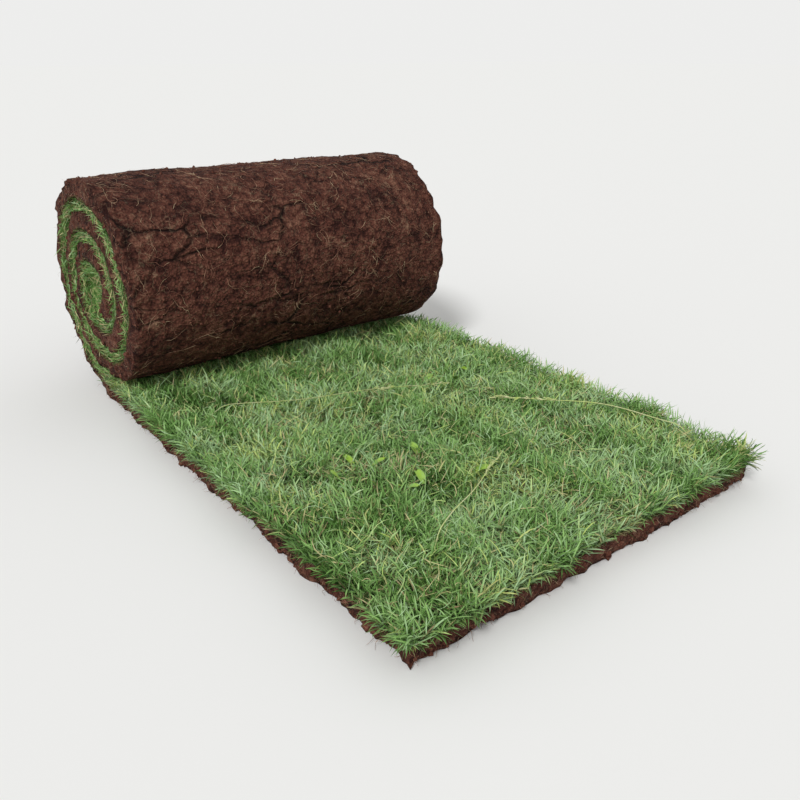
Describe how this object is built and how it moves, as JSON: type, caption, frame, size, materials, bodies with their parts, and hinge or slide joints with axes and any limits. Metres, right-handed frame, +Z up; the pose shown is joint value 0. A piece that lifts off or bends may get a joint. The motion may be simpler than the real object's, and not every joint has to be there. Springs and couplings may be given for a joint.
{
  "type": "roll of turf",
  "caption": "Part-unrolled roll of natural turf: one strip of grass on a mat of soil and roots, its free end laid flat and the rest rolled up with the grass inside.",
  "frame": {"origin": "on the ground, under the middle of the bounding box", "axes": "+Y along the strip from its free end to the roll, +X across the strip, +Z up"},
  "size_m": [0.418, 0.6989, 0.251],
  "materials": {
    "root_mat": "crumbly red-brown soil bound by fine roots, matt",
    "grass": "fine green blades with some straw-coloured ones, satin"
  },
  "bodies": {
    "root": {"turf_roll": "root_mat"}
  },
  "joints": []
}
